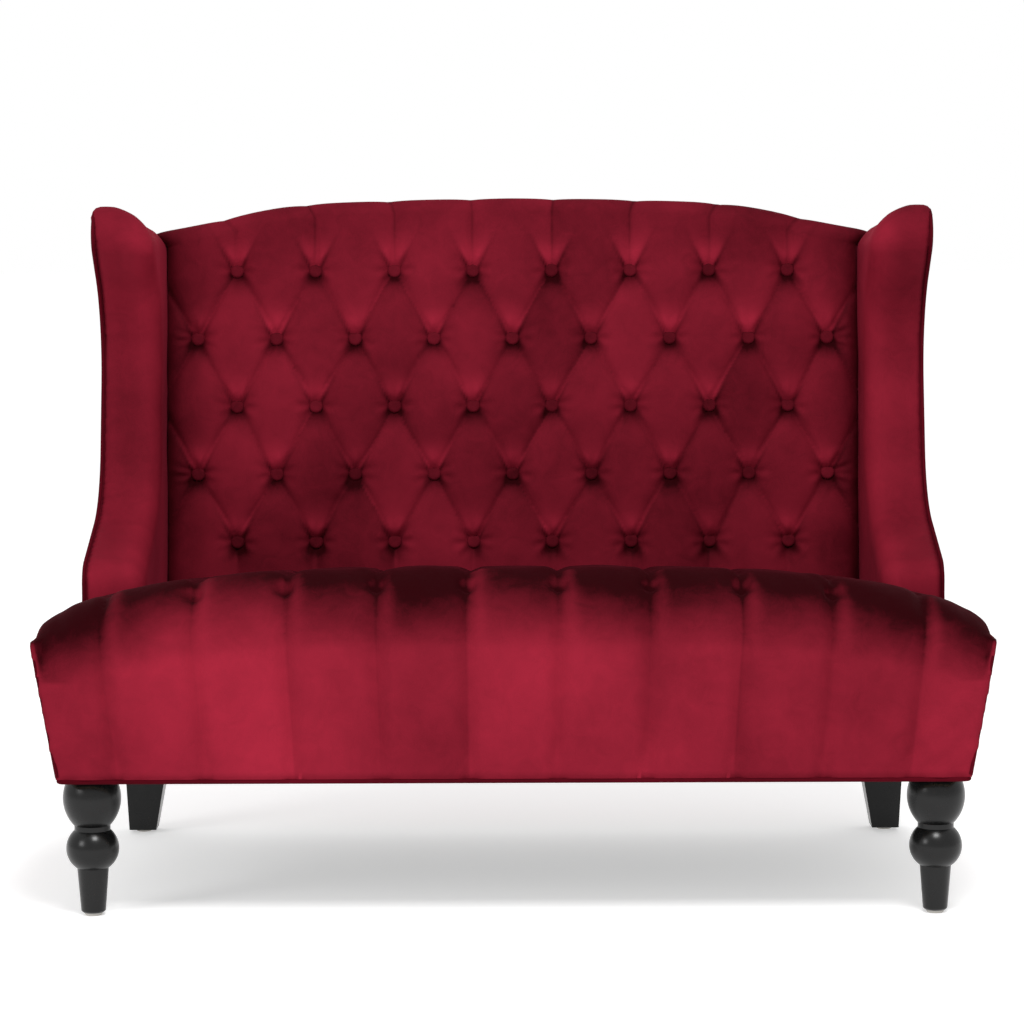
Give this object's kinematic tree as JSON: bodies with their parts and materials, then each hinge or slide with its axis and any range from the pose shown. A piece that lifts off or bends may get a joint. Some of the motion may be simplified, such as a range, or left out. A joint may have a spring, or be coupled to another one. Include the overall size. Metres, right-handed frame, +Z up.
{
  "type": "high back settee",
  "caption": "Two-seat high back settee with padded wings, diamond-tufted buttoned back, channelled seat, turned front legs and square rear legs.",
  "frame": {"origin": "on the floor under the middle of the settee: centre of the bounding box in plan, at its bottom", "axes": "+X to the right seen from the front, -Y to the front where the sitter faces, +Z up"},
  "size_m": [1.192, 0.71, 0.8979],
  "materials": {
    "black_cambric": "matte",
    "black_leg": "satin",
    "foam": "matte",
    "garnet_velvet": "matte",
    "glide": "matte",
    "lining_felt": "matte",
    "pine": "matte",
    "plywood": "matte",
    "toggle": "matte",
    "twine": "matte",
    "velvet_button": "matte",
    "velvet_welt": "matte",
    "webbing": "matte",
    "zinc_steel": "satin"
  },
  "bodies": {
    "root": {"back_buttons": "velvet_button", "back_centre_post": "pine", "back_cover": "garnet_velvet", "back_foam": "foam", "back_lining": "lining_felt", "back_lower_rail": "pine", "back_post_left": "pine", "back_post_right": "pine", "back_top_rail": "pine", "back_webbing": "webbing", "block_screws": "zinc_steel", "centre_stretcher": "pine", "corner_blocks": "pine", "dust_cover": "black_cambric", "front_leg_left": "black_leg", "front_leg_right": "black_leg", "front_rail": "pine", "leg_bolts": "zinc_steel", "leg_glides": "glide", "outside_back_panel": "garnet_velvet", "post_bolts": "zinc_steel", "rear_leg_left": "black_leg", "rear_leg_right": "black_leg", "rear_rail": "pine", "seat_base_welt": "velvet_welt", "seat_cover": "garnet_velvet", "seat_foam": "foam", "seat_side_panel_left": "garnet_velvet", "seat_side_panel_right": "garnet_velvet", "seat_side_welt_left": "velvet_welt", "seat_side_welt_right": "velvet_welt", "seat_springs": "zinc_steel", "side_rail_left": "plywood", "side_rail_right": "plywood", "spring_clips": "zinc_steel", "spring_deck": "lining_felt", "spring_ties": "zinc_steel", "tee_nuts": "zinc_steel", "tuft_toggles": "toggle", "tuft_twines": "twine", "wing_cover_left": "garnet_velvet", "wing_cover_right": "garnet_velvet", "wing_foam_left": "foam", "wing_foam_right": "foam", "wing_outside_panel_left": "garnet_velvet", "wing_outside_panel_right": "garnet_velvet", "wing_panel_left": "plywood", "wing_panel_right": "plywood", "wing_screws": "zinc_steel", "wing_welt_left": "velvet_welt", "wing_welt_right": "velvet_welt"}
  },
  "joints": []
}
